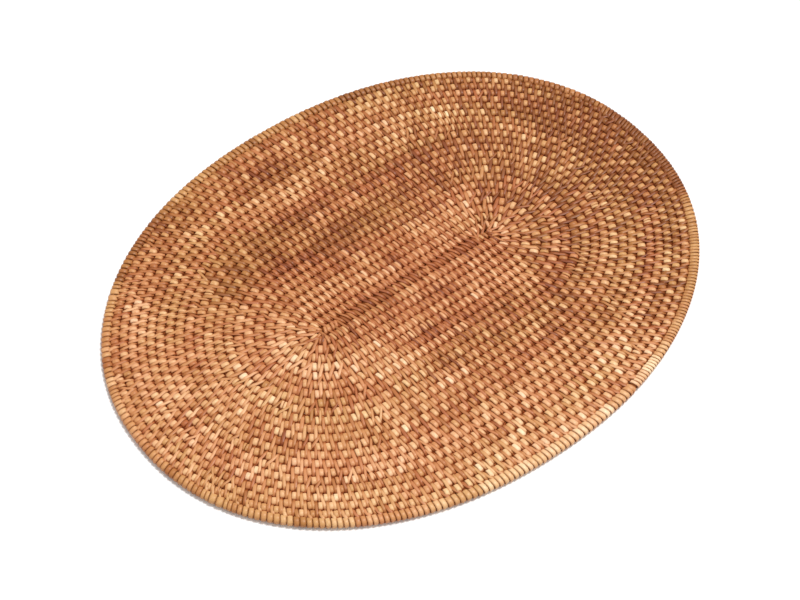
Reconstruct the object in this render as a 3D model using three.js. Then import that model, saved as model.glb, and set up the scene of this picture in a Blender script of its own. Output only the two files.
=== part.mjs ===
// Oval rattan placemat, coiled from one wrapped cane.
// The coil starts as a straight row along the middle, doubles back on itself and then
// runs round and round it. Every turn steps out by one row as it passes the +X end, and
// the coil's end thins away there against the rim, a last round that closes on itself.
// Both faces show the rows as low ridges with a groove between neighbours.
// Millimetres: X runs along the mat, Y across it, Z up from the table under it.

import * as THREE from 'three';
import { mergeVertices } from 'three/addons/utils/BufferGeometryUtils.js';

// Driving dimensions
const matLength = 400;
const matWidth = 306;
const matThickness = 5;
const firstRowReach = 64; // the straight first row runs this far each way from the middle
const turnCount = 21; // turns of coil laid round the first row, inside the rim
const rimPower = 2.13; // a power of 2 would make the rim a true ellipse, this is a little fuller
const grooveDepth = 1.3; // of the grooves between the rows, on each face
const crownShare = 0.5; // the part of a row's width that is its level crown
const rimBulge = 0.4; // the rim's side stands out by this much at half its height

// Steps that a curve is drawn in: one half turn round an end, and one side
const endSteps = { firstRow: 6, lastTurn: 20 };
const sideSteps = { firstRow: 2, lastTurn: 6 };

const rattanLook = { color: '#c68a55', roughness: 0.55, metalness: 0 };

// Worked out from the dimensions above
const halfLength = matLength / 2;
const halfWidth = matWidth / 2;
const midHeight = matThickness / 2;
const rimEdge = halfWidth - rimBulge;
const rowPitch = rimEdge / (turnCount + 1.5);
const coilEdge = rimEdge - rowPitch;
const halfCrown = (crownShare * rowPitch) / 2;

// A turn has four quarters: the +X end, the -Y side, the -X end and the +Y side
const quarters = 4;
const stepOutQuarter = 1 / quarters;
const coilStart = -1; // the turn that goes round the first row itself
const coilEnd = turnCount + stepOutQuarter;
const rimStart = coilEnd - 1;

const weldDistance = 1e-3;
const searchSteps = 40;

// The rim's half width at a place along the mat
function rimHalfWidth(x) {
  const across = 1 - Math.abs(x / halfLength) ** rimPower;
  return halfWidth * across ** (1 / rimPower);
}

// From an end of the first row out to the rim, in a direction turned from the mat's length
function rimReach(angle) {
  let inside = 0;
  let outside = halfLength;
  for (let step = 0; step < searchSteps; step += 1) {
    const reach = (inside + outside) / 2;
    const x = (firstRowReach + reach * Math.cos(angle)) / halfLength;
    const y = (reach * Math.sin(angle)) / halfWidth;
    if (Math.abs(x) ** rimPower + Math.abs(y) ** rimPower < 1) inside = reach;
    else outside = reach;
  }
  return (inside + outside) / 2;
}

// Rows near the middle have straight sides and round ends, and further out they take on
// the rim's shape. A row's offset is its distance from the first row at the mat's waist.
function offsetTowardsRim(offset, rimDistance) {
  const share = offset / halfWidth;
  return share * ((1 - share) * halfWidth + share * rimDistance);
}

// The place on the mat at a turn of the coil, clockwise from above, and at an offset
function placeOnMat(turn, offset) {
  const lap = (turn - Math.floor(turn)) * quarters;
  const quarter = Math.floor(lap);
  const along = lap - quarter;
  const side = quarter < 2 ? 1 : -1;
  if (quarter % 2 === 0) {
    const angle = Math.PI * (0.5 - along);
    const reach = offsetTowardsRim(offset, rimReach(angle));
    return [side * (firstRowReach + reach * Math.cos(angle)), side * reach * Math.sin(angle)];
  }
  const x = firstRowReach * (1 - 2 * along);
  return [side * x, -side * offsetTowardsRim(offset, rimHalfWidth(x))];
}

// The coil's section at a turn: where its middle and outer edge lie, and its fullness,
// which falls from 1 to 0 as the coil's end thins away
function sectionAt(turn) {
  const lap = Math.floor(turn);
  const share = Math.min(1, (turn - lap) * quarters);
  const stepOut = share * share * (3 - 2 * share);
  const innerEdge = rowPitch * (lap + stepOut - 0.5);
  const outerEdge = Math.min(coilEdge, innerEdge + rowPitch);
  const fullness = (outerEdge - innerEdge) / rowPitch;
  return { middle: (innerEdge + outerEdge) / 2, outerEdge, fullness };
}

// A point of the upper half, at a turn, an offset and a depth below the crowns
function upperPoint(turn, offset, depth) {
  return [...placeOnMat(turn, Math.max(0, offset)), matThickness - depth];
}

// The lines that the coil's section is drawn on, from its inner side to its outer edge
function crownInPoint(turn) {
  const { middle, fullness } = sectionAt(turn);
  return upperPoint(turn, middle - halfCrown * fullness, grooveDepth * (1 - fullness));
}

function crownOutPoint(turn) {
  const { middle, fullness } = sectionAt(turn);
  return upperPoint(turn, middle + halfCrown * fullness, grooveDepth * (1 - fullness));
}

function groovePoint(turn) {
  const { outerEdge } = sectionAt(turn);
  const opening = Math.min(1, Math.max(0, outerEdge) / (rowPitch / 2));
  return upperPoint(turn, outerEdge, grooveDepth * opening);
}

// The lines of the rim, from its crown round to the middle of its side
const rimMiddle = coilEdge + rowPitch / 2;
const rimLines = [
  { offset: rimMiddle - halfCrown, depth: 0 },
  { offset: rimMiddle + halfCrown, depth: 0 },
  { offset: rimEdge, depth: grooveDepth },
  { offset: halfWidth, depth: midHeight },
];

// Turns at which a line has its points: more of them in the longer, outer turns
function stepsInLap(range, lap) {
  const growth = Math.max(0, lap) / turnCount;
  return 2 * Math.round((range.firstRow + (range.lastTurn - range.firstRow) * growth) / 2);
}

function turnsBetween(first, last) {
  const turns = [];
  for (let lap = Math.floor(first); lap <= Math.floor(last); lap += 1) {
    for (let quarter = 0; quarter < quarters; quarter += 1) {
      const steps = stepsInLap(quarter % 2 === 0 ? endSteps : sideSteps, lap);
      for (let step = 0; step < steps; step += 1) {
        turns.push(lap + (quarter + step / steps) / quarters);
      }
    }
  }
  return turns.filter((turn) => turn >= first && turn < last).concat(last);
}

function drawLine(pointAt, first, last, lapShift = 0) {
  return turnsBetween(first, last).map((turn) => ({ turn: turn + lapShift, point: pointAt(turn) }));
}

// Fills the strip between two lines with triangles that face up
function fillStrip(triangles, innerLine, outerLine) {
  let inner = 0;
  let outer = 0;
  while (inner < innerLine.length - 1 || outer < outerLine.length - 1) {
    const nextInner = innerLine[inner + 1];
    const nextOuter = outerLine[outer + 1];
    const moveInner = !nextOuter || (nextInner && nextInner.turn <= nextOuter.turn);
    const next = moveInner ? nextInner : nextOuter;
    triangles.push([innerLine[inner].point, next.point, outerLine[outer].point]);
    if (moveInner) inner += 1;
    else outer += 1;
  }
}

function upperCoil(triangles) {
  const crownIn = drawLine(crownInPoint, coilStart, coilEnd);
  const crownOut = drawLine(crownOutPoint, coilStart, coilEnd);
  fillStrip(triangles, crownIn, crownOut);
  fillStrip(triangles, crownOut, drawLine(groovePoint, coilStart, coilEnd));
  const groove = drawLine(groovePoint, coilStart, rimStart, 1);
  fillStrip(triangles, groove, drawLine(crownInPoint, coilStart + 1, coilEnd));
}

function upperRim(triangles) {
  let inner = drawLine(groovePoint, rimStart, coilEnd);
  for (const { offset, depth } of rimLines) {
    const outer = drawLine((turn) => upperPoint(turn, offset, depth), rimStart, coilEnd);
    fillStrip(triangles, inner, outer);
    inner = outer;
  }
}

function turnedOver(triangle) {
  return triangle.map(([x, y, z]) => [x, y, matThickness - z]).reverse();
}

// Joins the shared corners and leaves out the triangles that close to nothing
function weldTriangles(triangles) {
  const loose = new THREE.BufferGeometry();
  loose.setAttribute('position', new THREE.Float32BufferAttribute(triangles.flat(2), 3));
  const welded = mergeVertices(loose, weldDistance);
  const corners = welded.getIndex().array;
  const kept = [];
  for (let start = 0; start < corners.length; start += 3) {
    const [a, b, c] = corners.slice(start, start + 3);
    if (a !== b && b !== c && c !== a) kept.push(a, b, c);
  }
  welded.setIndex(kept);
  welded.computeVertexNormals();
  return welded;
}

function coiledMat() {
  const upper = [];
  upperCoil(upper);
  upperRim(upper);
  const geometry = weldTriangles(upper.concat(upper.map(turnedOver)));
  const mat = new THREE.Mesh(geometry, new THREE.MeshStandardMaterial(rattanLook));
  mat.name = 'coiled_mat';
  return mat;
}

const placemat = new THREE.Group();
placemat.add(coiledMat());

export default placemat;
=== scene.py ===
import bisect
import math
import random

import bpy
from mathutils import Matrix, Vector, noise


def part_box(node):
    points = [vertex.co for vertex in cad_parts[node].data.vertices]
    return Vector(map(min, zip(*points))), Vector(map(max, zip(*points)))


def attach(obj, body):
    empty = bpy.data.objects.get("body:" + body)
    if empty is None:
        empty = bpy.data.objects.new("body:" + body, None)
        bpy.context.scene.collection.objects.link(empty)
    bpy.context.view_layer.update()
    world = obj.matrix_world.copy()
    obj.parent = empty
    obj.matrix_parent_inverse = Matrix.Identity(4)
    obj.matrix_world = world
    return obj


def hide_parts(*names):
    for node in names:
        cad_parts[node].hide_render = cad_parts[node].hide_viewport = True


# Oval placemat of coiled rattan: thin cane laid round and round, wrapped and bound with
# split strips. Metres, X along the mat, Y across it, Z up from the surface it lies on.
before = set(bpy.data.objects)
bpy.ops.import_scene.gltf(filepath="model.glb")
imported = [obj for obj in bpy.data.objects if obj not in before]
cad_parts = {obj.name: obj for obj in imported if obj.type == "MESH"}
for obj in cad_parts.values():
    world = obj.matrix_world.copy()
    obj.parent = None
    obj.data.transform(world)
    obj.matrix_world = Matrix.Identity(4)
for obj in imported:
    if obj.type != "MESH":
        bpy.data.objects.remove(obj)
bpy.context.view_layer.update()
lowCorner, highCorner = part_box("coiled_mat")
halfLength = highCorner.x
halfWidth = highCorner.y
midHeight = (lowCorner.z + highCorner.z) / 2
halfThickness = (highCorner.z - lowCorner.z) / 2
mm = 0.001

# How the coil runs, as in the solid that it stands for
coil = {
    "firstRowReach": 64 * mm,  # the straight first row, each way from the middle
    "turnCount": 21,  # turns round the first row, inside the rim
    "rimPower": 2.13,  # fullness of the rim's oval
    "rimBulge": 0.4 * mm,  # the rim's side stands out by this much at half its height
    "tableStep": 1.2 * mm,  # the coil's middle line is measured in steps of about this
    "shortestQuarter": 2 * mm,  # where the coil starts, a quarter turn counts as this long
    "nudge": 1e-4,  # of a turn, to look ahead and back along the row
    "probe": 1e-3,  # of a turn, to measure how long a turn is here
    "searchSteps": 26,  # to find the rim in a direction
}
rowPitch = (halfWidth - coil["rimBulge"]) / (coil["turnCount"] + 1.5)
coilEdge = rowPitch * (coil["turnCount"] + 0.5)
quarters = 4  # the +X end, the -Y side, the -X end and the +Y side
quarterTurn = 1 / quarters
coilEnd = coil["turnCount"] + quarterTurn
rimStart = coilEnd - 1
firstRowStart = -quarterTurn


def rimHalfWidth(x):
    across = 1 - abs(x / halfLength) ** coil["rimPower"]
    return halfWidth * across ** (1 / coil["rimPower"])


# From an end of the first row out to the rim
def rimReach(angle):
    inside, outside = 0.0, halfLength
    for _ in range(coil["searchSteps"]):
        reach = (inside + outside) / 2
        x = (coil["firstRowReach"] + reach * math.cos(angle)) / halfLength
        y = reach * math.sin(angle) / halfWidth
        if abs(x) ** coil["rimPower"] + abs(y) ** coil["rimPower"] < 1:
            inside = reach
        else:
            outside = reach
    return (inside + outside) / 2


# Rows near the middle have straight sides, and further out they take on the rim's shape
def offsetTowardsRim(offset, rimDistance):
    share = offset / halfWidth
    return share * ((1 - share) * halfWidth + share * rimDistance)


# The place at a turn, clockwise from above, and an offset from the first row
def placeOnMat(turn, offset):
    lap = (turn - math.floor(turn)) * quarters
    quarter = int(lap)
    along = lap - quarter
    side = 1 if quarter < 2 else -1
    if quarter % 2 == 0:
        angle = math.pi * (0.5 - along)
        reach = offsetTowardsRim(offset, rimReach(angle))
        x = coil["firstRowReach"] + reach * math.cos(angle)
        return Vector((side * x, side * reach * math.sin(angle), 0))
    x = coil["firstRowReach"] * (1 - 2 * along)
    return Vector((side * x, -side * offsetTowardsRim(offset, rimHalfWidth(x)), 0))


# Every turn steps out by one row as it passes the +X end
def rowOffset(turn):
    lap = math.floor(turn)
    share = min(1, (turn - lap) * quarters)
    return rowPitch * (lap + share * share * (3 - 2 * share))


# The edges of the coil's row at a turn
def coilEdges(turn):
    inner = rowOffset(turn) - rowPitch / 2
    return inner, min(coilEdge, inner + rowPitch)


def rimEdges(turn):
    return coilEdge, coilEdge + rowPitch


# A line of places along a row, with the distance run, the way out and the row's width
class RowTable:
    def __init__(self, edgesAt, first, last):
        self.turns, self.distances, self.middles, self.ways, self.widths = [], [], [], [], []
        turn, distance, before = first, 0.0, None
        nudge, probe = coil["nudge"], coil["probe"]
        while True:
            inner, outer = edgesAt(turn)
            middle = placeOnMat(turn, (inner + outer) / 2)
            distance += (middle - before).length if before else 0.0
            ahead = placeOnMat(turn + nudge, sum(edgesAt(turn + nudge)) / 2)
            behind = placeOnMat(turn - nudge, sum(edgesAt(turn - nudge)) / 2)
            way = Vector((behind.y - ahead.y, ahead.x - behind.x, 0)).normalized()
            across = placeOnMat(turn, outer) - placeOnMat(turn, inner)
            self.turns.append(turn)
            self.distances.append(distance)
            self.middles.append(middle)
            self.ways.append(way)
            self.widths.append(max(0.0, across.dot(way)))
            before = middle
            if turn >= last:
                break
            run = (placeOnMat(turn + probe, outer) - placeOnMat(turn, outer)).length
            quarterLength = max(run * quarterTurn / probe, coil["shortestQuarter"])
            turn = min(last, turn + quarterTurn * coil["tableStep"] / quarterLength)

    @staticmethod
    def look(keys, values, key):
        place = min(max(bisect.bisect_right(keys, key), 1), len(keys) - 1)
        span = keys[place] - keys[place - 1]
        share = min(1.0, max(0.0, (key - keys[place - 1]) / span)) if span else 0.0
        return values[place - 1] * (1 - share) + values[place] * share

    def distanceAt(self, turn):
        return self.look(self.turns, self.distances, turn)

    def turnAt(self, distance):
        return self.look(self.distances, self.turns, distance)

    def middleAt(self, distance):
        return self.look(self.distances, self.middles, distance)

    def wayAt(self, distance):
        return self.look(self.distances, self.ways, distance).normalized()

    def widthAt(self, distance):
        return self.look(self.distances, self.widths, distance)


coilTable = RowTable(coilEdges, firstRowStart, coilEnd)
rimTable = RowTable(rimEdges, rimStart, coilEnd)
print(f"coil measured: {coilTable.distances[-1]:.2f} m, rim {rimTable.distances[-1]:.2f} m")

# Where the stitches stand along the coil, and how they are laid
weave = {
    "seed": 46,
    "spacing": 6.5 * mm,  # from one wrap to the next in an outer row
    "firstSpacing": 4.5 * mm,  # and in the first turn
    "spacingGrowth": 0.14 * mm,  # a turn
    "brickShare": 0.56,  # of its spacing: a row's wraps lie this far back from the row inside
    "brickSpread": 0.08,  # and this share differs from row to row
    "brickDraws": 30,  # no fewer than there are turns
    "spreadStep": 1.5 * mm,  # the stitches of each row spread this much from the sides' middles
    "insertPast": (1.12, 1.5),  # a wrap is added in a gap of this many spacings
    "dropUnder": 0.45,  # and left out in one this small
    "evenPasses": 2,
    "ownStitchAt": 0.37,  # of the gap behind a wrap: its own long stitch
    "nextStitchAt": 0.64,  # and the one of the next row out
    "besideEach": 0.8 * mm,  # a second stitch at the same place lies this far beside it
    "stitchRoom": 0.26,  # of the spacing, that a long stitch takes up in a row
    "placeSpread": 0.35 * mm,  # of the wraps
    "endSpread": 0.3 * mm,  # and of the long stitches' ends
    "narrowestRow": 0.5 * rowPitch,  # where the coil thins away more, the rim covers it
    "wrapLean": 9,  # degrees
    "wrapLeanSpread": 5,
    "stripLeanSpread": 2,
    "wrapHeight": (0.92, 1),  # of the full height
    "widestWrap": 4.0 * mm,  # wider wraps are laid as narrower strips side by side
    "widestSpread": (0.9, 1.15),
    "longWidth": (0.88, 1.12),  # of the full width
    "longHeight": (0.93, 1),
    "shortestLong": 0.5 * mm,
    "widthPower": 0.7,  # a long stitch is wider in a wider gap, by this power of it
}

firstRow = {
    "wrapShare": 0.3,  # of the places on the first row have a wrap
    "wrapWidth": 2.3 * mm,
    "wrapLength": 0.92 * rowPitch,
    "startWraps": 4,  # pale wraps where the coil starts
    "startAt": 1.6 * mm,
    "startSpacing": 2.7 * mm,
    "startLean": (-25, -10),  # degrees
    "endAt": (4.2 * mm, 1.2 * mm),  # two wraps, this far from its other end
    "endLean": (0, 20),
    "lean": (-25, 0),
    "placeSpread": 1 * mm,
    "stitchBack": 2.1 * mm,  # the first turn's stitches go in this far back from where they start
    "stitchWidth": 1.15,  # and are this much wider than others
    "poleShort": 0.2 * rowPitch,  # round its ends they stop this far short of the end
}

rim = {
    "wrapWidth": 3.4 * mm,  # the rim's wraps lie side by side
    "endWrapWidth": 2.6 * mm,  # and are narrower at the end where the coil thins away
    "wrapLength": 1.16,  # of the row's width
    "inward": 0.2 * mm,  # of the row's middle
    "lean": 12,  # degrees
    "smallestGap": 1.5 * mm,
    "stitchReach": -0.3,  # its long stitches end under them, this part of a row short
}

# Each strip is used up in a run of stitches that share its tone
strips = {
    "stitches": (6, 16),  # that one strip makes
    "meanTone": 0.46,  # from the darkest colour, 0, to the palest, 1
    "meanRedness": 0.5,
    "runTone": 0.08,
    "runRedness": 0.22,
    "stitchTone": 0.085,
    "stitchRedness": 0.12,
    "kindTonesAndPaintedLight": {  # paleness and redness; for wraps and long stitches these are painted light on the raised wraps and painted shade on the lower long stitches
        "wrap": (0.13, -0.06),
        "long": (-0.13, 0.12),
        "rim": (0.03, -0.15),
        "start": (0.16, 0.0),
        "end": (0.0, 0.0),
    },
    "kindDrift": 0.6,  # wraps and long stitches, painted lit and shaded, differ this much more at the +X end
}

# Stretches of the rows where the strips are darker or paler, and redder or more golden: partly the
# strips' own tone, partly painted light and painted shade
toneAndLightPatches = [
    # x, y, reach along the row (mm), reach in rows, paleness, redness
    (-190, 10, 90, 1.6, -0.05, 0.20),
    (-190, -60, 60, 1.2, -0.10, 0.00),
    (-170, -20, 34, 1.4, -0.26, 0.35),
    (-168, 42, 50, 1.6, 0.14, 0.10),
    (-140, -50, 40, 2.6, 0.14, 0.10),
    (-120, 20, 70, 3.5, 0.08, 0.15),
    (-118, 0, 34, 0.8, -0.16, 0.25),
    (-106, 44, 30, 1.2, -0.14, -0.10),
    (-92, 0, 46, 1.4, 0.11, 0.05),
    (-92, -42, 18, 1.0, -0.12, 0.10),
    (-78, -30, 26, 1.2, 0.04, 0.45),
    (-100, -72, 26, 1.4, -0.18, 0.20),
    (-50, -76, 40, 1.0, -0.10, 0.25),
    (-45, -44, 34, 1.4, 0.02, 0.10),
    (-86, -98, 50, 2.4, -0.06, 0.45),
    (-60, -130, 50, 1.0, 0.20, -0.10),
    (-86, -119, 9, 1.2, -0.10, 0.00),
    (-40, 23, 30, 1.2, 0.20, 0.00),
    (10, 8, 40, 1.0, 0.09, 0.15),
    (10, 0, 90, 7.0, 0.00, 0.18),
    (-48, 0, 18, 0.8, -0.24, 0.30),
    (42, 0, 26, 0.8, -0.16, 0.15),
    (10, -16, 50, 1.6, -0.08, 0.45),
    (0, -27, 40, 1.0, -0.02, 0.50),
    (0, -42, 28, 1.0, -0.30, 0.50),
    (46, -36, 26, 1.1, 0.20, 0.05),
    (-2, -62, 24, 1.0, -0.30, 0.40),
    (56, -58, 26, 0.8, -0.18, 0.05),
    (88, -46, 28, 1.3, -0.12, -0.35),
    (56, -27, 18, 1.2, 0.22, 0.00),
    (84, -29, 10, 1.0, -0.20, 0.00),
    (97, 4, 30, 1.1, -0.18, 0.05),
    (78, 5, 26, 1.1, 0.18, 0.10),
    (64, 30, 26, 1.2, 0.06, 0.25),
    (110, 5, 26, 0.5, 0.06, -0.05),
    (125, 0, 60, 2.2, -0.12, -0.12),
    (112, -78, 34, 1.4, -0.10, -0.25),
    (149, -15, 46, 1.2, -0.08, -0.30),
    (128, -62, 24, 0.9, 0.08, -0.20),
    (66, 102, 90, 1.8, 0.25, -0.20),
    (104, 100, 30, 1.2, 0.12, -0.10),
    (165, 10, 70, 1.6, -0.36, -0.10),
    (110, 15, 30, 1.0, -0.12, -0.10),
    (188, 20, 60, 2.0, -0.40, -0.05),
    (150, 92, 60, 1.6, 0.14, -0.30),
    (150, 60, 26, 2.0, -0.08, -0.15),
    (150, -80, 50, 1.8, -0.18, -0.15),
    (185, -60, 26, 0.8, 0.10, -0.05),
    (90, 132, 36, 1.2, -0.18, 0.00),
    (-28, 121, 26, 1.3, -0.18, 0.10),
    (22, 116, 40, 0.9, -0.14, 0.00),
    (15, 131, 40, 1.1, 0.26, 0.10),
    (40, 146, 50, 1.0, -0.18, -0.10),
    (-128, 119, 40, 1.4, -0.28, -0.30),
    (-130, 96, 30, 1.3, 0.12, 0.20),
    (-92, 90, 40, 1.6, -0.08, 0.15),
    (-70, 130, 30, 1.0, 0.10, -0.05),
    (-34, 92, 24, 1.0, 0.14, -0.10),
    (0, 147, 60, 1.0, -0.02, -0.40),
    (-17, 138, 4, 1.2, 0.22, -0.05),
    (-160, -98, 80, 1.4, -0.20, 0.10),
    (-188, 55, 50, 1.0, -0.10, 0.00),
    (-45, -9, 32, 1.0, -0.10, 0.30),
    (-52, 80, 42, 1.1, -0.22, -0.45),
    (0, 82, 30, 0.8, -0.10, 0.10),
    (50, 77, 36, 1.0, -0.26, 0.05),
    (0, 70, 50, 0.7, 0.06, -0.10),
    (60, 56, 20, 1.2, -0.12, 0.40),
    (-10, 57, 42, 1.1, -0.34, 0.30),
    (-50, 52, 30, 1.2, -0.16, 0.15),
    (-40, 66, 30, 0.8, -0.20, 0.00),
    (-100, 57, 30, 1.2, -0.08, -0.25),
    (-82, 28, 18, 1.0, -0.22, -0.05),
    (12, 36, 60, 0.9, -0.14, 0.40),
    (-10, 47, 50, 0.6, 0.06, 0.10),
    (30, -88, 40, 0.8, -0.08, 0.10),
    (70, -76, 24, 1.1, 0.14, 0.00),
    (-10, -96, 50, 1.2, 0.06, 0.20),
    (0, -110, 90, 1.0, 0.02, 0.20),
    (30, -125, 70, 1.0, 0.10, -0.08),
    (-20, -150, 80, 1.1, 0.24, -0.40),
    (106, -113, 60, 1.6, 0.18, 0.00),
    (72, -142, 24, 1.0, 0.16, 0.00),
    (-110, -130, 50, 1.5, 0.04, -0.05),
]
paintedLightFalloff = {"along": -0.10, "across": -0.10}  # painted light falloff: darker from the middle to the +X end and +Y side
toneNoise = {  # changes in a metre and from row to row, amount, and where in the noise it lies
    "streak": (20, 0.55, 0.13, (0, 0, 0)),
    "fine": (75, 0, 0.06, (0, 0, 8.3)),
    "hue": (16, 0.4, 0.30, (5, 0, 0)),
}
leastBend = 0.01 * mm  # where the rim bends in less, its distance counts as that at the waist


# How many rows a place is away from the first row
def rowsAt(place):
    aside = max(0.0, abs(place.x) - coil["firstRowReach"])
    if aside > 0:
        distance = math.hypot(aside, place.y)
        rimDistance = rimReach(math.atan2(abs(place.y), aside))
    else:
        distance = abs(place.y)
        rimDistance = rimHalfWidth(place.x)
    bend = rimDistance - halfWidth
    if abs(bend) < leastBend:
        return distance / rowPitch
    share = (-halfWidth + math.sqrt(halfWidth * halfWidth + 4 * bend * distance)) / (2 * bend)
    return share * halfWidth / rowPitch


patchRows = [rowsAt(Vector((patch[0], patch[1])) * mm) for patch in toneAndLightPatches]


def toneNoiseAt(kind, place, rows):
    often, perRow, amount, start = toneNoise[kind]
    at = Vector((place.x * often, place.y * often, rows * perRow)) + Vector(start)
    return amount * noise.noise(at)


# The paleness and redness that a stitch has from its place, painted light and shade included
def patchToneAndLight(place):
    rows = rowsAt(place)
    paleness = paintedLightFalloff["along"] * place.x / halfLength + paintedLightFalloff["across"] * place.y / halfWidth
    redness = 0.0
    direction, radius = math.atan2(place.y, place.x), place.length / mm
    for patch, patchRow in zip(toneAndLightPatches, patchRows):
        x, y, reachAlong, reachRows, morePale, moreRed = patch
        turned = (direction - math.atan2(y, x) + math.pi) % (2 * math.pi) - math.pi
        run = turned * (radius + math.hypot(x, y)) / 2
        if patchRow < 1:  # the first row is straight
            run = place.x / mm - x
        along, across = run / reachAlong, (rows - patchRow) / reachRows
        fade = math.exp(-along * along - across * across)
        paleness += morePale * fade
        redness += moreRed * fade
    paleness += toneNoiseAt("streak", place, rows) + toneNoiseAt("fine", place, rows)
    return paleness, redness + toneNoiseAt("hue", place, rows)


# Adds and leaves out places until none stand too close or too far apart
def evenOut(places, before, rng):
    spacing = weave["spacing"]
    kept = [before]
    for place in places:
        gap = place - kept[-1]
        if gap < weave["dropUnder"] * spacing:
            continue
        if gap > rng.uniform(*weave["insertPast"]) * spacing:
            kept.append(kept[-1] + gap / 2)
        kept.append(place)
    for _ in range(weave["evenPasses"]):
        middle = [0.5 * b + 0.25 * (a + c) for a, b, c in zip(kept, kept[1:], kept[2:])]
        kept[1:-1] = middle
    return kept[1:]


# Runs from -1 to 1 along each side of the mat, and back to -1 round each end
def spreadAt(turn):
    quarter = (turn * quarters) % 2
    return 1 - 2 * quarter if quarter < 1 else 2 * quarter - 3


# How far a row's stitches lie back from those of the row inside it
def stepBack(turn, brickShares):
    lap = max(0, int(turn))
    spacing = min(weave["spacing"], weave["firstSpacing"] + lap * weave["spacingGrowth"])
    return brickShares[lap] * spacing - weave["spreadStep"] * spreadAt(turn)


def placeWraps(rng, brickShares):
    start, end = coilTable.distanceAt(0), coilTable.distanceAt(1)
    count = round((end - start) / weave["firstSpacing"])
    row = [start + (end - start) * step / count for step in range(count)]
    wraps = list(row)
    for _ in range(coil["turnCount"] + 1):
        nextRow = []
        for place in row:
            turn = coilTable.turnAt(place) + 1
            if turn < coilEnd:
                nextRow.append(coilTable.distanceAt(turn) - stepBack(turn, brickShares))
        if len(nextRow) < 2:
            break
        row = evenOut(nextRow, wraps[-1], rng)
        wraps += row
    return wraps


# Gives each stitch its tone and redness, in runs from one strip
class StripRuns:
    def __init__(self, rng):
        self.rng, self.left, self.tone, self.redness = rng, 0, 0.0, 0.0

    def next(self):
        if self.left <= 0:
            self.left = self.rng.randint(*strips["stitches"])
            self.tone = self.rng.gauss(0, strips["runTone"])
            self.redness = self.rng.gauss(0, strips["runRedness"])
        self.left -= 1
        return self.tone + self.rng.gauss(0, strips["stitchTone"]), self.redness


stitchRandom = random.Random(weave["seed"] + 1)


# The wraps are painted paler, as lit, than the long stitches, which are painted darker, as shaded,
# and more so towards the +X end
def kindToneAndPaintedLight(kind, place):
    paleness, redness = strips["kindTonesAndPaintedLight"][kind]
    return paleness * (1 + strips["kindDrift"] * place.x / halfLength), redness


# One stitch: its middle, which way it runs and how it is fitted to its place
def makeStitch(middle, way, fit, strip, kind):
    paleness, redness = patchToneAndLight(middle)
    runTone, runRedness = strip
    kindPalenessAndPaintedLight, moreRed = kindToneAndPaintedLight(kind, middle)
    moreRed += stitchRandom.gauss(0, strips["stitchRedness"])
    # The tone holds the strip's own tone and painted light and shade from its place and its kind
    tone = strips["meanTone"] + paleness + runTone + kindPalenessAndPaintedLight
    redness += strips["meanRedness"] + runRedness + moreRed
    return {
        "at": Vector((middle.x, middle.y, midHeight)),
        "turnTo": math.atan2(-way.x, way.y),
        "fit": fit,
        "tone": min(1.0, max(0.0, tone)),
        "redness": min(1.0, max(0.0, redness)),
    }


# Turns a way across the row back, against the coil's run
def leanedBack(way, degrees):
    angle = math.radians(degrees)
    back = Vector((-way.y, way.x, 0))
    return (way * math.cos(angle) + back * math.sin(angle)).normalized()


# One wrap, or narrower ones side by side where it would be too wide
def layWrap(wraps, table, place, size, lean, strip, kind, rng, count=1):
    wrapWidth, length, inward = size
    share = 1 / count
    for index in range(count):
        at = place + ((index + 0.5) * share - 0.5) * wrapWidth
        across = table.wayAt(at)
        way = leanedBack(across, lean + rng.uniform(-1, 1) * weave["stripLeanSpread"])
        wide = wrapWidth * share / wrapPath["stripWidth"]
        fit = (wide, length / rowPitch, rng.uniform(*weave["wrapHeight"]))
        middle = table.middleAt(at) - across * inward
        wraps.append(makeStitch(middle, way, fit, strip, kind))


# A long stitch from a row's outer edge to the inner edge of the row inside
def layLong(stitches, outerPoint, outerWidth, innerPoint, innerWidth, strip, rng, wide):
    run = outerPoint - innerPoint
    if run.length < weave["shortestLong"]:
        return
    along = run.normalized()
    outerEnd = outerPoint + along * outerWidth * 0.5
    innerEnd = innerPoint - along * innerWidth * 0.5
    length = (outerEnd - innerEnd).length
    width, height = rng.uniform(*weave["longWidth"]), rng.uniform(*weave["longHeight"])
    fit = (wide * width, length / (2 * rowPitch), height)
    stitches.append(makeStitch((outerEnd + innerEnd) / 2, along, fit, strip, "long"))


# Finds the wrap of the row inside that a stitch is made against, and the place beside it
class Parents:
    def __init__(self, places, gaps, rng):
        self.places, self.gaps, self.rng = places, gaps, rng
        self.used = set()

    def placeFor(self, turn):
        target = coilTable.distanceAt(turn)
        found = bisect.bisect_left(self.places, target)
        near = [i for i in (found - 1, found) if 0 <= i < len(self.places)]
        parent = min(near, key=lambda i: abs(self.places[i] - target))
        place = self.places[parent] - weave["nextStitchAt"] * self.gaps[parent]
        side = weave["besideEach"] if parent in self.used else 0.0
        self.used.add(parent)
        return place + side + self.rng.uniform(-1, 1) * weave["endSpread"]


# The stitches of the first turn go into the first row, from its two sides in turn
def firstRowPoint(outerPoint, crossings):
    reach = coil["firstRowReach"]
    if abs(outerPoint.x) >= reach or (outerPoint.y >= 0 and not crossings):
        return Vector((math.copysign(reach, outerPoint.x), 0, 0)), -firstRow["poleShort"]
    wanted = outerPoint.x + firstRow["stitchBack"] * math.copysign(1, outerPoint.y)
    if outerPoint.y < 0:
        crossings.append(wanted)
        return Vector((wanted, 0, 0)), rowPitch
    between = [(a + b) / 2 for a, b in zip(crossings, crossings[1:])]
    x = min(between, key=lambda middle: abs(middle - wanted))
    return Vector((x, 0, 0)), rowPitch


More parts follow.
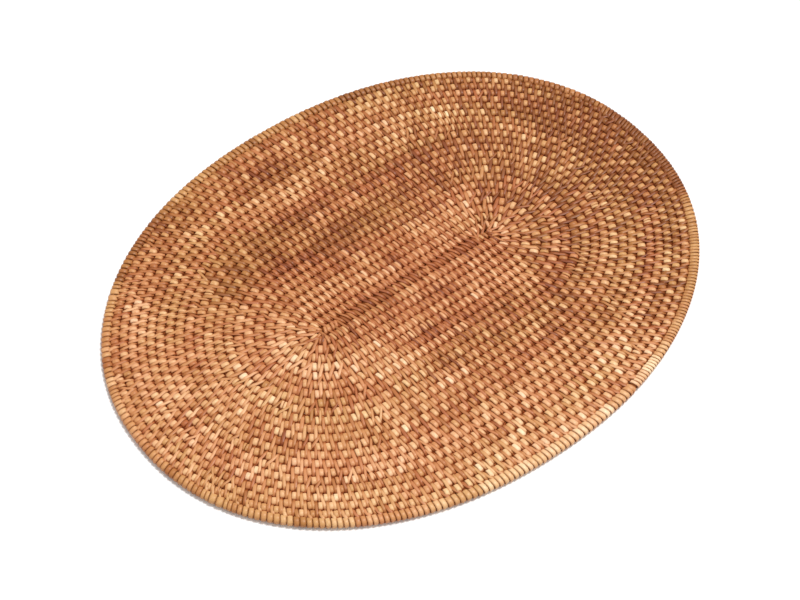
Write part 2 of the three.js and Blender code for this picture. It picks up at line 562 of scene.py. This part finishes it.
def layStitches():
    rng = random.Random(weave["seed"])
    spread = weave["brickSpread"]
    draws = range(weave["brickDraws"])
    brickShares = [weave["brickShare"] + rng.uniform(-spread, spread) for _ in draws]
    places = placeWraps(rng, brickShares)
    runs = StripRuns(rng)
    shortWraps, longStitches, crossings = [], [], []
    start = coilTable.distanceAt(0)
    gaps = [weave["spacing"]] + [b - a for a, b in zip(places, places[1:])]
    parents = Parents(places, gaps, rng)
    for index, place in enumerate(places):
        turn, gap = coilTable.turnAt(place), gaps[index]
        width = coilTable.widthAt(place)
        strip = runs.next()
        wrapWidth = gap * (1 - 2 * weave["stitchRoom"])
        wide = (gap / weave["spacing"]) ** weave["widthPower"]
        if width > weave["narrowestRow"]:
            at = place + rng.uniform(-1, 1) * weave["placeSpread"]
            lean = weave["wrapLean"] + rng.uniform(-1, 1) * weave["wrapLeanSpread"]
            widest = weave["widestWrap"] * rng.uniform(*weave["widestSpread"])
            count = math.ceil(wrapWidth / widest)
            size = (wrapWidth, width, 0.0)
            layWrap(shortWraps, coilTable, at, size, lean, strip, "wrap", rng, count)
        outerPlace = place - weave["ownStitchAt"] * gap + rng.uniform(-1, 1) * weave["endSpread"]
        outerPoint = coilTable.middleAt(outerPlace)
        if turn >= 1:
            innerPlace = parents.placeFor(coilTable.turnAt(place + stepBack(turn, brickShares)) - 1)
            innerPoint = coilTable.middleAt(innerPlace)
            innerWidth = coilTable.widthAt(max(innerPlace, start))
        else:
            innerPoint, innerWidth = firstRowPoint(outerPoint, crossings)
            wide *= firstRow["stitchWidth"]
        layLong(longStitches, outerPoint, width, innerPoint, innerWidth, strip, rng, wide)
    layFirstRow(shortWraps, rng)
    rimWraps, rimStitches = layRim(parents, rng)
    return shortWraps, longStitches, rimWraps, rimStitches


# The first row has a few wraps at its ends and some more here and there
def layFirstRow(wraps, rng):
    runs = StripRuns(rng)
    length = coilTable.distanceAt(0)
    size = (firstRow["wrapWidth"], firstRow["wrapLength"], 0.0)
    for index in range(firstRow["startWraps"]):
        place = firstRow["startAt"] + index * firstRow["startSpacing"]
        lean = rng.uniform(*firstRow["startLean"])
        layWrap(wraps, coilTable, place, size, lean, (0.0, 0.0), "start", rng)
    for fromEnd in firstRow["endAt"]:
        lean = rng.uniform(*firstRow["endLean"])
        layWrap(wraps, coilTable, length - fromEnd, size, lean, runs.next(), "end", rng)
    for index in range(int(length / weave["spacing"])):
        strip = runs.next()
        aside = rng.uniform(-1, 1) * firstRow["placeSpread"]
        place = (index + 0.5) * weave["spacing"] + aside
        if rng.random() < firstRow["wrapShare"]:
            lean = rng.uniform(*firstRow["lean"])
            layWrap(wraps, coilTable, place, size, lean, strip, "wrap", rng)


# The rim is wrapped close, over the ends of the long stitches that bind it to the row inside
def layRim(parents, rng):
    runs = StripRuns(rng)
    turns = [turn for turn in map(coilTable.turnAt, parents.places) if turn > rimStart]
    rimLength = rimTable.distances[-1]
    brickStep = weave["brickShare"] * weave["spacing"]
    places = [rimTable.distanceAt(turn) - brickStep for turn in turns]
    wraps, stitches = [], []
    for index, place in enumerate(places):
        before = places[index - 1] if index else places[-1] - rimLength
        gap = place - before
        if gap < rim["smallestGap"]:
            continue
        strip = runs.next()
        turn = rimTable.turnAt(place % rimLength)
        thinned = coilTable.widthAt(coilTable.distanceAt(turn))
        extra = thinned if thinned < weave["narrowestRow"] else 0.0
        length = rimTable.widthAt(place % rimLength) * rim["wrapLength"] + extra
        size = (gap, length, rim["inward"] + extra / 2)
        count = max(1, round(gap / (rim["endWrapWidth"] if extra else rim["wrapWidth"])))
        middle = (place - gap / 2) % rimLength
        layWrap(wraps, rimTable, middle, size, rim["lean"], strip, "rim", rng, count)
        outerPlace = (place - 0.5 * gap + rng.uniform(-1, 1) * weave["endSpread"]) % rimLength
        innerPlace = parents.placeFor(turns[index])
        layLong(
            stitches,
            rimTable.middleAt(outerPlace),
            rimTable.widthAt(outerPlace) * rim["stitchReach"],
            coilTable.middleAt(innerPlace),
            coilTable.widthAt(innerPlace),
            strip,
            rng,
            (gap / weave["spacing"]) ** weave["widthPower"],
        )
    return wraps, stitches


# A wrap goes once round the cane, a long stitch round two rows and dips between them
wrapPath = {
    "halfSpan": 0.465 * rowPitch,
    "halfHeight": halfThickness - 0.45 * mm,
    "fullness": 2.45,  # of its oval, 2 is an ellipse
    "steps": 10,
    "stripWidth": 3.2 * mm,
    "stripThickness": 0.9 * mm,
}
stitchPath = {
    "halfSpan": 0.955 * rowPitch,
    "halfHeight": halfThickness - 0.62 * mm,
    "crownAt": 0.50,  # of the half span
    "shoulderHeight": 0.58,  # of the half height, at its two ends
    "dip": 0.82,  # of the half height, between the rows
    "stripWidth": 2.5 * mm,
    "stripThickness": 0.8 * mm,
}
rimPath = dict(wrapPath, stripThickness=0.8 * mm, fullness=2.4)
copySpread = {"width": 0.05, "twist": 3}  # of every strip, the twist in degrees
corePath = {
    "step": 3.6 * mm,
    "halfHeight": 1.75 * mm,
    "widthShare": 1.12,  # wider than its row, so that no light shows between two rows
    "rimShare": 0.76,  # of that width, in the rim
    "narrowest": 1 * mm,
    "sides": 8,
}


def roundPath(look):
    points = []
    for step in range(look["steps"]):
        angle = 2 * math.pi * (step + 0.5) / look["steps"]
        y = math.copysign(abs(math.cos(angle)) ** (2 / look["fullness"]), math.cos(angle))
        z = math.copysign(abs(math.sin(angle)) ** (2 / look["fullness"]), math.sin(angle))
        points.append((0, y * look["halfSpan"], z * look["halfHeight"]))
    return points


def twoRowPath(look):
    span, height = look["halfSpan"], look["halfHeight"]
    top = [
        (span, look["shoulderHeight"] * height),
        (look["crownAt"] * span, height),
        (0, look["dip"] * height),
        (-look["crownAt"] * span, height),
        (-span, look["shoulderHeight"] * height),
    ]
    bottom = [(y, -z) for y, z in reversed(top)]
    return [(0, y, z) for y, z in top + bottom]


def makeLoop(name, points):
    curve = bpy.data.curves.new(name, "CURVE")
    curve.dimensions = "3D"
    spline = curve.splines.new("POLY")
    spline.points.add(len(points) - 1)
    for spot, point in zip(spline.points, points):
        spot.co = (*point, 1)
    spline.use_cyclic_u = True
    loop = bpy.data.objects.new(name, curve)
    bpy.context.scene.collection.objects.link(loop)
    return loop


# Adds a node with its settings and input values, a value may be another node's output
def addNode(tree, kind, inputs=None, **settings):
    node = tree.nodes.new(kind)
    for name, value in settings.items():
        setattr(node, name, value)
    for name, value in (inputs or {}).items():
        socket = node.inputs[name]
        if isinstance(value, bpy.types.NodeSocket):
            tree.links.new(value, socket)
        else:
            socket.default_value = value
    return node


def startTree(name, sockets):
    tree = bpy.data.node_groups.new(name, "GeometryNodeTree")
    geometry = "NodeSocketGeometry"
    tree.interface.new_socket(name="Geometry", in_out="OUTPUT", socket_type=geometry)
    tree.interface.new_socket(name="Geometry", in_out="INPUT", socket_type=geometry)
    for label, kind in sockets:
        tree.interface.new_socket(name=label, in_out="INPUT", socket_type=kind)
    return tree, tree.nodes.new("NodeGroupInput"), tree.nodes.new("NodeGroupOutput")


def namedValue(tree, name, kind):
    node = addNode(tree, "GeometryNodeInputNamedAttribute", {"Name": name}, data_type=kind)
    return node.outputs["Attribute"]


def storeNamed(tree, geometry, name, value, kind):
    node = addNode(
        tree,
        "GeometryNodeStoreNamedAttribute",
        {"Geometry": geometry, "Name": name, "Value": value},
        data_type=kind,
        domain="POINT",
    )
    return node.outputs["Geometry"]


def mathNode(tree, operation, first, second, third=0.0, clamp=False):
    inputs = {0: first, 1: second, 2: third}
    node = addNode(tree, "ShaderNodeMath", inputs, operation=operation, use_clamp=clamp)
    return node.outputs[0]


def vectorMath(tree, operation, first, second):
    inputs = {0: first, "Scale" if operation == "SCALE" else 1: second}
    return addNode(tree, "ShaderNodeVectorMath", inputs, operation=operation).outputs["Vector"]


def combine(tree, **parts):
    return addNode(tree, "ShaderNodeCombineXYZ", parts).outputs["Vector"]


# The end of both trees: every copy made real and given its finish
def finishTree(tree, given, result, geometry):
    real = addNode(tree, "GeometryNodeRealizeInstances", {"Geometry": geometry})
    finished = addNode(
        tree,
        "GeometryNodeSetMaterial",
        {"Geometry": real.outputs["Geometry"], "Material": given.outputs["Finish"]},
    )
    tree.links.new(finished.outputs["Geometry"], result.inputs["Geometry"])
    return tree


# Sends a copy of one strip loop to every point
def buildStitchTree():
    tree, given, result = startTree(
        "stitchesOnPoints",
        [
            ("Path", "NodeSocketObject"),
            ("Strip Width", "NodeSocketFloat"),
            ("Strip Thickness", "NodeSocketFloat"),
            ("Width Spread", "NodeSocketFloat"),
            ("Twist Spread", "NodeSocketFloat"),
            ("Seed", "NodeSocketInt"),
            ("Finish", "NodeSocketMaterial"),
        ],
    )
    seed, widthSpread = given.outputs["Seed"], given.outputs["Width Spread"]
    path = addNode(tree, "GeometryNodeObjectInfo", {"Object": given.outputs["Path"]})
    factor = addNode(tree, "GeometryNodeSplineParameter").outputs["Factor"]
    line = storeNamed(tree, path.outputs["Geometry"], "along", factor, "FLOAT")
    level = addNode(
        tree, "GeometryNodeSetCurveNormal", {"Curve": line, "Normal": (1, 0, 0)}, mode="FREE"
    )
    circle = addNode(tree, "GeometryNodeCurvePrimitiveCircle", {"Resolution": 6, "Radius": 0.5})
    position = addNode(tree, "GeometryNodeInputPosition").outputs["Position"]
    fromMiddle = addNode(tree, "ShaderNodeSeparateXYZ", {"Vector": position}).outputs["X"]
    across = mathNode(tree, "MULTIPLY", fromMiddle, 2.0)  # from -1 to 1
    section = storeNamed(tree, circle.outputs["Curve"], "across", across, "FLOAT")
    size = combine(tree, X=given.outputs["Strip Width"], Y=given.outputs["Strip Thickness"], Z=1.0)
    profile = addNode(tree, "GeometryNodeTransform", {"Geometry": section, "Scale": size})
    strip = addNode(
        tree,
        "GeometryNodeCurveToMesh",
        {"Curve": level.outputs["Curve"], "Profile Curve": profile.outputs["Geometry"]},
    )
    smooth = addNode(tree, "GeometryNodeSetShadeSmooth", {"Geometry": strip.outputs["Mesh"]})
    twist = addNode(
        tree,
        "FunctionNodeRandomValue",
        {"Min": (-1, -1, 0), "Max": (1, 1, 0), "Seed": seed},
        data_type="FLOAT_VECTOR",
    )
    twisted = vectorMath(tree, "SCALE", twist.outputs["Value"], given.outputs["Twist Spread"])
    leaned = combine(tree, Z=namedValue(tree, "turnTo", "FLOAT"))
    angles = vectorMath(tree, "ADD", twisted, leaned)
    rotation = addNode(tree, "FunctionNodeEulerToRotation", {"Euler": angles})
    narrow = mathNode(tree, "SUBTRACT", 1.0, widthSpread)
    wide = mathNode(tree, "ADD", 1.0, widthSpread)
    spread = addNode(
        tree, "FunctionNodeRandomValue", {2: narrow, 3: wide, "Seed": seed}, data_type="FLOAT"
    )
    widths = combine(tree, X=spread.outputs[1], Y=1.0, Z=1.0)
    scale = vectorMath(tree, "MULTIPLY", namedValue(tree, "fit", "FLOAT_VECTOR"), widths)
    copies = addNode(
        tree,
        "GeometryNodeInstanceOnPoints",
        {
            "Points": given.outputs["Geometry"],
            "Instance": smooth.outputs["Geometry"],
            "Rotation": rotation.outputs["Rotation"],
            "Scale": scale,
        },
    )
    return finishTree(tree, given, result, copies.outputs["Instances"])


# Draws the cane as a tube along a line of edges, as wide as its row
def buildCaneTree():
    tree, given, result = startTree(
        "caneAlongLine",
        [
            ("Half Height", "NodeSocketFloat"),
            ("Width Share", "NodeSocketFloat"),
            ("Sides", "NodeSocketInt"),
            ("Finish", "NodeSocketMaterial"),
        ],
    )
    position = addNode(tree, "GeometryNodeInputPosition").outputs["Position"]
    run = addNode(tree, "GeometryNodeSplineParameter").outputs["Length"]
    path = addNode(tree, "GeometryNodeMeshToCurve", {"Mesh": given.outputs["Geometry"]})
    line = storeNamed(tree, path.outputs["Curve"], "middle", position, "FLOAT_VECTOR")
    line = storeNamed(tree, line, "along", run, "FLOAT")
    circle = addNode(
        tree,
        "GeometryNodeCurvePrimitiveCircle",
        {"Resolution": given.outputs["Sides"], "Radius": 1.0},
    )
    section = storeNamed(tree, circle.outputs["Curve"], "round", position, "FLOAT_VECTOR")
    tube = addNode(
        tree,
        "GeometryNodeCurveToMesh",
        {"Curve": line, "Profile Curve": section, "Fill Caps": True},
    )
    middle = namedValue(tree, "middle", "FLOAT_VECTOR")
    outward = namedValue(tree, "outward", "FLOAT_VECTOR")
    around = namedValue(tree, "round", "FLOAT_VECTOR")
    parts = addNode(tree, "ShaderNodeSeparateXYZ", {"Vector": around})
    side = mathNode(tree, "MULTIPLY", parts.outputs["X"], given.outputs["Width Share"])
    rise = mathNode(tree, "MULTIPLY", parts.outputs["Y"], given.outputs["Half Height"])
    sideways = vectorMath(tree, "ADD", middle, vectorMath(tree, "SCALE", outward, side))
    place = vectorMath(tree, "ADD", sideways, combine(tree, Z=rise))
    moved = addNode(
        tree, "GeometryNodeSetPosition", {"Geometry": tube.outputs["Mesh"], "Position": place}
    )
    smooth = addNode(tree, "GeometryNodeSetShadeSmooth", {"Geometry": moved.outputs["Geometry"]})
    return finishTree(tree, given, result, smooth.outputs["Geometry"])


# Runs a tree on an object and leaves a plain mesh of the same name
def applyTree(piece, tree, values, helperNames):
    modifier = piece.modifiers.new("making", "NODES")
    modifier.node_group = tree
    for item in tree.interface.items_tree:
        if item.in_out == "INPUT" and item.name in values:
            modifier[item.identifier] = values[item.name]
    graph = bpy.context.evaluated_depsgraph_get()
    made = bpy.data.meshes.new_from_object(
        piece.evaluated_get(graph), preserve_all_data_layers=True, depsgraph=graph
    )
    piece.modifiers.clear()
    piece.data = made
    made.name = piece.name
    for name in helperNames:
        if name in made.attributes:
            made.attributes.remove(made.attributes[name])
    made.calc_loop_triangles()
    print(f"{piece.name}: {len(made.loop_triangles)} triangles")
    return piece


def addPiece(name, mesh):
    piece = bpy.data.objects.new(name, mesh)
    bpy.context.scene.collection.objects.link(piece)
    return piece


def makeStitchPiece(name, stitches, loop, look, finish, seed):
    mesh = bpy.data.meshes.new(name + "Points")
    mesh.from_pydata([stitch["at"] for stitch in stitches], [], [])
    for label in ("turnTo", "tone", "redness"):
        column = mesh.attributes.new(label, "FLOAT", "POINT")
        column.data.foreach_set("value", [stitch[label] for stitch in stitches])
    fits = mesh.attributes.new("fit", "FLOAT_VECTOR", "POINT")
    fits.data.foreach_set("vector", [value for stitch in stitches for value in stitch["fit"]])
    values = {
        "Path": loop,
        "Strip Width": look["stripWidth"],
        "Strip Thickness": look["stripThickness"],
        "Width Spread": copySpread["width"],
        "Twist Spread": math.radians(copySpread["twist"]),
        "Seed": seed,
        "Finish": finish,
    }
    return applyTree(addPiece(name, mesh), stitchTree, values, ("turnTo", "fit"))


def makeCore(finish, look):
    points, outward, edges = [], [], []
    for table, closed in ((coilTable, False), (rimTable, True)):
        first = len(points)
        step = max(1, round(look["step"] / coil["tableStep"]))
        share = look["rimShare"] if closed else 1.0
        for index in range(0, len(table.turns) - (1 if closed else 0), step):
            middle, way, width = table.middles[index], table.ways[index], table.widths[index]
            points.append((middle.x, middle.y, midHeight))
            outward += list(way * max(width, look["narrowest"]) * 0.5 * share)
        edges += [(i, i + 1) for i in range(first, len(points) - 1)]
        if closed:
            edges.append((len(points) - 1, first))
    mesh = bpy.data.meshes.new("coreLine")
    mesh.from_pydata(points, edges, [])
    column = mesh.attributes.new("outward", "FLOAT_VECTOR", "POINT")
    column.data.foreach_set("vector", outward)
    values = {
        "Half Height": look["halfHeight"],
        "Width Share": look["widthShare"],
        "Sides": look["sides"],
        "Finish": finish,
    }
    helperNames = ("outward", "middle", "round")
    return applyTree(addPiece("coilCore", mesh), buildCaneTree(), values, helperNames)


# Colours of the strips, from the darkest to the palest, in a golden and a reddish row
rattan = {
    "stops": (0.0, 0.28, 0.52, 0.76, 1.0),
    "golden": (
        (0.25, 0.077, 0.012),
        (0.44, 0.180, 0.046),
        (0.62, 0.320, 0.114),
        (0.80, 0.505, 0.240),
        (0.95, 0.740, 0.450),
    ),
    "reddish": (
        (0.225, 0.050, 0.010),
        (0.42, 0.122, 0.034),
        (0.60, 0.240, 0.090),
        (0.77, 0.405, 0.198),
        (0.92, 0.620, 0.390),
    ),
}


def colourRow(tree, amount, colours):
    ramp = addNode(tree, "ShaderNodeValToRGB", {"Fac": amount})
    ramp.color_ramp.interpolation = "EASE"
    while len(ramp.color_ramp.elements) < len(colours):
        ramp.color_ramp.elements.new(0.5)
    for element, stop, colour in zip(ramp.color_ramp.elements, rattan["stops"], colours):
        element.position = stop
        element.color = (*colour, 1)
    return ramp.outputs["Color"]


def mapRange(tree, value, fromLow, fromHigh, toLow, toHigh):
    inputs = {"Value": value, "From Min": fromLow, "From Max": fromHigh}
    inputs.update({"To Min": toLow, "To Max": toHigh})
    node = addNode(tree, "ShaderNodeMapRange", inputs, interpolation_type="SMOOTHSTEP")
    return node.outputs["Result"]


def mixColour(tree, blend, factor, first, second):
    inputs = {0: factor, 6: first, 7: second}  # 6 and 7 take colours
    node = addNode(tree, "ShaderNodeMix", inputs, data_type="RGBA", blend_type=blend)
    return node.outputs[2]


def noiseNode(tree, place, scale, detail, roughness=0.5):
    inputs = {"Vector": place, "Scale": scale, "Detail": detail, "Roughness": roughness}
    return addNode(tree, "ShaderNodeTexNoise", inputs).outputs["Fac"]


def aroundZero(tree, pattern, amount):
    return mathNode(tree, "MULTIPLY_ADD", pattern, amount, -0.5 * amount)


# A new material, its shader, the place on the mat and the height from the mat's middle
def startMaterial(name, look):
    material = bpy.data.materials.new(name)
    material.use_nodes = True
    tree = material.node_tree
    shader = tree.nodes["Principled BSDF"]
    shader.inputs["Specular IOR Level"].default_value = look["specular"]
    place = addNode(tree, "ShaderNodeTexCoord").outputs["Object"]
    height = addNode(tree, "ShaderNodeSeparateXYZ", {"Vector": place}).outputs["Z"]
    fromMiddle = mathNode(tree, "ABSOLUTE", mathNode(tree, "SUBTRACT", height, midHeight), 0.0)
    return material, shader, place, fromMiddle


def addBump(tree, shader, height, look):
    inputs = {"Height": height, "Strength": look["bump"], "Distance": look["bumpDepth"]}
    bump = addNode(tree, "ShaderNodeBump", inputs)
    tree.links.new(bump.outputs["Normal"], shader.inputs["Normal"])


stripFinish = {
    "fibresAcross": 5.0,
    "fibresAlong": 9.0,
    "fibreShift": 61.0,  # so that no two strips have the same fibres
    "fibreDetail": 3.0,
    "fibreRoughness": 0.6,
    "fibreTone": 0.34,
    "blotchScale": 260,
    "blotchDetail": 2.0,
    "blotchTone": 0.20,
    # Painted shade: each strip darker towards its edges, where it meets its neighbours
    "paintedEdgeShade": 0.50,
    "edgePower": 3.0,
    # Painted shade: the colour that darkens the strips at their edges and in the grooves between
    # rows
    "paintedShadeColour": (0.60, 0.22, 0.06, 1),
    "paintedGrooveShade": 1.0,
    "paintedGrooveHeights": (0.25, 0.80),  # of half the thickness: all painted shade below the one, none above the other
    "roughAt": (0.3, 0.7),  # of the fibres' pattern
    "roughness": (0.36, 0.56),
    "coat": 0.10,
    "coatRoughness": 0.30,
    "specular": 0.30,
    "bump": 0.35,
    "bumpDepth": 0.16 * mm,
}
# The rim's strips have stronger painted shade at their edges and weaker painted shade in the
# grooves
rimFinish = dict(stripFinish, paintedEdgeShade=0.55, paintedGrooveShade=0.25)


def makeStripFinish(name, look):
    material, shader, place, fromMiddle = startMaterial(name, look)
    tree = material.node_tree
    # The tone attribute holds painted light and shade as well as the strips' own tone
    tone, redness, along, across = (
        addNode(tree, "ShaderNodeAttribute", attribute_name=label).outputs["Fac"]
        for label in ("tone", "redness", "along", "across")
    )
    fibreAt = combine(
        tree,
        X=mathNode(tree, "MULTIPLY", across, look["fibresAcross"]),
        Y=mathNode(tree, "MULTIPLY", along, look["fibresAlong"]),
        Z=mathNode(tree, "MULTIPLY", mathNode(tree, "ADD", tone, redness), look["fibreShift"]),
    )
    fibres = noiseNode(tree, fibreAt, 1.0, look["fibreDetail"], look["fibreRoughness"])
    blotches = noiseNode(tree, place, look["blotchScale"], look["blotchDetail"])
    fibreTone = aroundZero(tree, fibres, look["fibreTone"])
    blotchTone = aroundZero(tree, blotches, look["blotchTone"])
    paleness = mathNode(tree, "ADD", mathNode(tree, "ADD", tone, fibreTone), blotchTone, clamp=True)
    golden = colourRow(tree, paleness, rattan["golden"])
    reddish = colourRow(tree, paleness, rattan["reddish"])
    colour = mixColour(tree, "MIX", redness, golden, reddish)
    # Painted shade at the strip's edges
    edge = mathNode(tree, "POWER", mathNode(tree, "ABSOLUTE", across, 0.0), look["edgePower"])
    shade = mathNode(tree, "MULTIPLY", edge, look["paintedEdgeShade"])
    edged = mixColour(tree, "MULTIPLY", shade, colour, look["paintedShadeColour"])
    # Painted shade: the strips darker and redder low down, where they sink into the grooves between
    # rows
    low, high = (share * halfThickness for share in look["paintedGrooveHeights"])
    paintedGrooveAmount = mapRange(tree, fromMiddle, low, high, look["paintedGrooveShade"], 0.0)
    withPaintedGrooveShade = mixColour(tree, "MULTIPLY", paintedGrooveAmount, edged, look["paintedShadeColour"])
    tree.links.new(withPaintedGrooveShade, shader.inputs["Base Color"])
    rough = mapRange(tree, fibres, *look["roughAt"], *look["roughness"])
    tree.links.new(rough, shader.inputs["Roughness"])
    shader.inputs["Coat Weight"].default_value = look["coat"]
    shader.inputs["Coat Roughness"].default_value = look["coatRoughness"]
    addBump(tree, shader, fibres, look)
    return material


# The cane shows only in the gaps between the strips, and its near-black brown is painted shade
# there
caneFinish = {
    "dark": (0.15, 0.032, 0.004, 1),
    "light": (0.22, 0.055, 0.010, 1),
    "lightHeights": (0.2, 0.75),  # of half the thickness: painted shade below the one, the lighter colour above the other
    "grainScale": 700,
    "grainDetail": 3.0,
    "grainAt": (0.25, 0.75),  # of the grain's pattern
    "grainTone": (0.45, 1.0),
    "roughness": 0.8,
    "specular": 0.15,
    "bump": 0.4,
    "bumpDepth": 0.1 * mm,
}


def makeCaneFinish(name, look):
    material, shader, place, fromMiddle = startMaterial(name, look)
    tree = material.node_tree
    grain = noiseNode(tree, place, look["grainScale"], look["grainDetail"])
    # Painted shade: the cane darker towards its middle height, deep between the rows
    low, high = (share * halfThickness for share in look["lightHeights"])
    lit = mapRange(tree, fromMiddle, low, high, 0.0, 1.0)
    tone = mapRange(tree, grain, *look["grainAt"], *look["grainTone"])
    amount = mathNode(tree, "MULTIPLY", lit, tone)
    colour = mixColour(tree, "MIX", amount, look["dark"], look["light"])
    tree.links.new(colour, shader.inputs["Base Color"])
    shader.inputs["Roughness"].default_value = look["roughness"]
    addBump(tree, shader, grain, look)
    return material


stitchTree = buildStitchTree()
shortWraps, longStitches, rimWraps, rimStitches = layStitches()
print(f"laid out: {len(shortWraps)} wraps and {len(longStitches)} long stitches")
print(f"on the rim: {len(rimWraps)} wraps and {len(rimStitches)} long stitches")

wrapLoop = makeLoop("wrapLoop", roundPath(wrapPath))
stitchLoop = makeLoop("stitchLoop", twoRowPath(stitchPath))
rimLoop = makeLoop("rimLoop", roundPath(rimPath))
stripMaterial = makeStripFinish("splitRattan", stripFinish)
rimMaterial = makeStripFinish("rimRattan", rimFinish)
caneMaterial = makeCaneFinish("darkCane", caneFinish)


# The short wraps and the long stitches are too many for one piece each
def halves(stitches):
    middle = len(stitches) // 2
    return stitches[:middle], stitches[middle:]


seeds = {"shortWraps": 3, "longStitches": 5, "rimWraps": 7, "rimStitches": 9}
core = makeCore(caneMaterial, corePath)
pieces = []
for base, stitches, loop, look in (
    ("shortWraps", shortWraps, wrapLoop, wrapPath),
    ("longStitches", longStitches, stitchLoop, stitchPath),
):
    for part, chosen in zip(("Inner", "Outer"), halves(stitches)):
        name, seed = base + part, seeds[base]
        pieces.append(makeStitchPiece(name, chosen, loop, look, stripMaterial, seed))
for name, stitches, loop, look in (
    ("rimWraps", rimWraps, rimLoop, rimPath),
    ("rimStitches", rimStitches, stitchLoop, stitchPath),
):
    pieces.append(makeStitchPiece(name, stitches, loop, look, rimMaterial, seeds[name]))
for loop in (wrapLoop, stitchLoop, rimLoop):
    bpy.data.objects.remove(loop)

for piece in [core, *pieces]:
    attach(piece, "root")
    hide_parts("coiled_mat")

studio = {
    "aim": (-0.0109, -0.0083, 0.0025),  # the camera looks at this point
    "azimuth": -38.4,  # degrees round the mat
    "elevation": 55.4,
    "distance": 1.333,
    "roll": 2.2,
    "lens": 95.9,
    "sky": (0.58, 0.58, 0.58, 1),
    "sunStrength": 2.38,
    "sunAzimuth": 95,
    "sunElevation": 69,
    "sunSize": 16,  # degrees across
    "floorColour": (0.96, 0.96, 0.96, 1),
    "floorRoughness": 0.9,
    "floorReach": 4.0,
    "floorLevel": -0.2 * mm,
}


def wayFrom(azimuth, elevation):
    around, up = math.radians(azimuth), math.radians(elevation)
    flat = math.cos(up)
    return Vector((math.sin(around) * flat, -math.cos(around) * flat, math.sin(up)))


def setCamera():
    camera = bpy.data.objects.new("camera", bpy.data.cameras.new("camera"))
    camera.data.lens = studio["lens"]
    back = wayFrom(studio["azimuth"], studio["elevation"])
    camera.location = Vector(studio["aim"]) + back * studio["distance"]
    turned = (-back).to_track_quat("-Z", "Y").to_matrix().to_4x4()
    roll = Matrix.Rotation(math.radians(studio["roll"]), 4, "Z")
    camera.rotation_euler = (turned @ roll).to_euler()
    bpy.context.scene.collection.objects.link(camera)
    bpy.context.scene.camera = camera


def setLights():
    world = bpy.data.worlds.new("studio")
    world.use_nodes = True
    world.node_tree.nodes["Background"].inputs["Color"].default_value = studio["sky"]
    bpy.context.scene.world = world
    sun = bpy.data.objects.new("sun", bpy.data.lights.new("sun", "SUN"))
    sun.data.energy = studio["sunStrength"]
    sun.data.angle = math.radians(studio["sunSize"])
    towards = wayFrom(studio["sunAzimuth"], studio["sunElevation"])
    sun.rotation_euler = towards.to_track_quat("Z", "Y").to_euler()
    bpy.context.scene.collection.objects.link(sun)
    bpy.context.scene.view_settings.view_transform = "Standard"


def setFloor():
    reach, level = studio["floorReach"], studio["floorLevel"]
    ways = ((-1, -1), (1, -1), (1, 1), (-1, 1))
    corners = [(x * reach, y * reach, level) for x, y in ways]
    mesh = bpy.data.meshes.new("floor")
    mesh.from_pydata(corners, [], [(0, 1, 2, 3)])
    floor = addPiece("floor", mesh)
    material = bpy.data.materials.new("paleFloor")
    material.use_nodes = True
    shader = material.node_tree.nodes["Principled BSDF"]
    shader.inputs["Base Color"].default_value = studio["floorColour"]
    shader.inputs["Roughness"].default_value = studio["floorRoughness"]
    mesh.materials.append(material)


setCamera()
setLights()
setFloor()
print("studio set")
